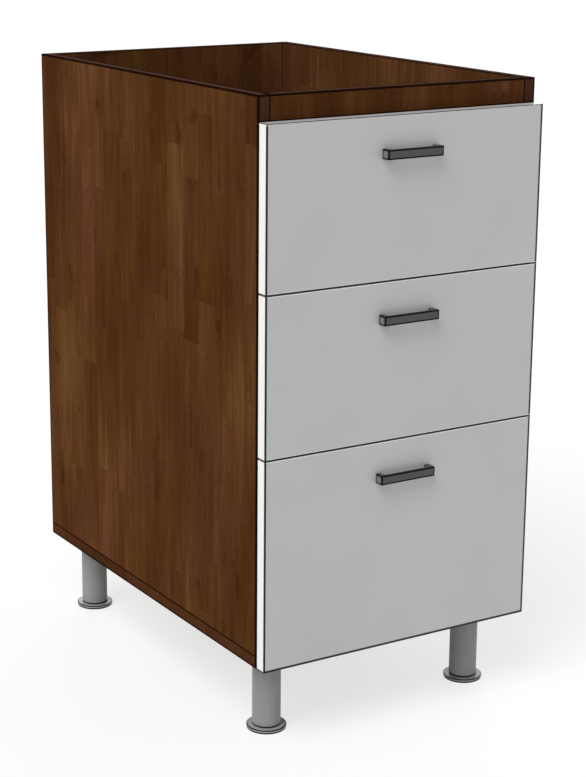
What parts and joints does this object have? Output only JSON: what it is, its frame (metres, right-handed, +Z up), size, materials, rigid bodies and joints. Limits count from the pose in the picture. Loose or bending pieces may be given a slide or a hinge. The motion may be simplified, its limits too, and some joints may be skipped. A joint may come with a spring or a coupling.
{
  "type": "base cabinet with drawers",
  "caption": "Open-topped kitchen base cabinet on levelling legs, with drawers on ball slides behind plain grey fronts with bridge handles.",
  "frame": {"origin": "on the floor under the feet, at the middle of the whole cabinet's width and depth with its fronts and handles", "axes": "+X to the right seen from the front, +Y towards the wall, +Z up; the drawers open along -Y"},
  "size_m": [0.4, 0.6118, 0.806],
  "materials": {
    "walnut_board": "walnut stave print on faced board, satin",
    "hardboard": "brown faced hardboard, matt",
    "front_grey": "light grey laminate with white edge banding, satin",
    "box_white": "off-white faced board, satin",
    "zinced_steel": "zinc plated, satin",
    "handle_graphite": "dark graphite, satin",
    "leg_grey": "mid grey metallic, satin",
    "foot_grey": "light grey metallic, satin"
  },
  "bodies": {
    "root": {"side_panel_left": "walnut_board", "side_panel_right": "walnut_board", "bottom_panel": "walnut_board", "front_rail": "walnut_board", "rear_rail": "walnut_board", "back_panel": "hardboard", "leg_plate_front_left": "leg_grey", "leg_plate_front_right": "leg_grey", "leg_plate_rear_left": "leg_grey", "leg_plate_rear_right": "leg_grey", "leg_tube_front_left": "leg_grey", "leg_tube_front_right": "leg_grey", "leg_tube_rear_left": "leg_grey", "leg_tube_rear_right": "leg_grey", "slide_outer_left_top": "zinced_steel", "slide_outer_right_top": "zinced_steel", "slide_outer_left_middle": "zinced_steel", "slide_outer_right_middle": "zinced_steel", "slide_outer_left_bottom": "zinced_steel", "slide_outer_right_bottom": "zinced_steel"},
    "drawer_top": {"drawer_front_top": "front_grey", "handle_top": "handle_graphite", "box_side_left_top": "box_white", "box_side_right_top": "box_white", "box_front_top": "box_white", "box_back_top": "box_white", "box_bottom_top": "box_white", "slide_inner_left_top": "zinced_steel", "slide_inner_right_top": "zinced_steel"},
    "slide_pair_top": {"slide_middle_left_top": "zinced_steel", "slide_middle_right_top": "zinced_steel"},
    "drawer_middle": {"drawer_front_middle": "front_grey", "handle_middle": "handle_graphite", "box_side_left_middle": "box_white", "box_side_right_middle": "box_white", "box_front_middle": "box_white", "box_back_middle": "box_white", "box_bottom_middle": "box_white", "slide_inner_left_middle": "zinced_steel", "slide_inner_right_middle": "zinced_steel"},
    "slide_pair_middle": {"slide_middle_left_middle": "zinced_steel", "slide_middle_right_middle": "zinced_steel"},
    "drawer_bottom": {"drawer_front_bottom": "front_grey", "handle_bottom": "handle_graphite", "box_side_left_bottom": "box_white", "box_side_right_bottom": "box_white", "box_front_bottom": "box_white", "box_back_bottom": "box_white", "box_bottom_bottom": "box_white", "slide_inner_left_bottom": "zinced_steel", "slide_inner_right_bottom": "zinced_steel"},
    "slide_pair_bottom": {"slide_middle_left_bottom": "zinced_steel", "slide_middle_right_bottom": "zinced_steel"},
    "level_front_left": {"foot_front_left": "foot_grey"},
    "level_front_right": {"foot_front_right": "foot_grey"},
    "level_rear_left": {"foot_rear_left": "foot_grey"},
    "level_rear_right": {"foot_rear_right": "foot_grey"}
  },
  "joints": [
    {"name": "open_top", "type": "slide", "parent": "root", "child": "drawer_top", "axis": [0, -1, 0], "range_m": [0, 0.5]},
    {"name": "slides_top", "type": "slide", "parent": "root", "child": "slide_pair_top", "axis": [0, -1, 0], "range_m": [0, 0.25]},
    {"name": "open_middle", "type": "slide", "parent": "root", "child": "drawer_middle", "axis": [0, -1, 0], "range_m": [0, 0.5]},
    {"name": "slides_middle", "type": "slide", "parent": "root", "child": "slide_pair_middle", "axis": [0, -1, 0], "range_m": [0, 0.25]},
    {"name": "open_bottom", "type": "slide", "parent": "root", "child": "drawer_bottom", "axis": [0, -1, 0], "range_m": [0, 0.5]},
    {"name": "slides_bottom", "type": "slide", "parent": "root", "child": "slide_pair_bottom", "axis": [0, -1, 0], "range_m": [0, 0.25]},
    {"name": "screw_front_left", "type": "slide", "parent": "root", "child": "level_front_left", "axis": [0, 0, -1], "range_m": [0, 0.02]},
    {"name": "screw_front_right", "type": "slide", "parent": "root", "child": "level_front_right", "axis": [0, 0, -1], "range_m": [0, 0.02]},
    {"name": "screw_rear_left", "type": "slide", "parent": "root", "child": "level_rear_left", "axis": [0, 0, -1], "range_m": [0, 0.02]},
    {"name": "screw_rear_right", "type": "slide", "parent": "root", "child": "level_rear_right", "axis": [0, 0, -1], "range_m": [0, 0.02]}
  ],
  "couplings": [
    {"joint": "slides_top", "follows": "open_top", "ratio": 0.5},
    {"joint": "slides_middle", "follows": "open_middle", "ratio": 0.5},
    {"joint": "slides_bottom", "follows": "open_bottom", "ratio": 0.5}
  ]
}
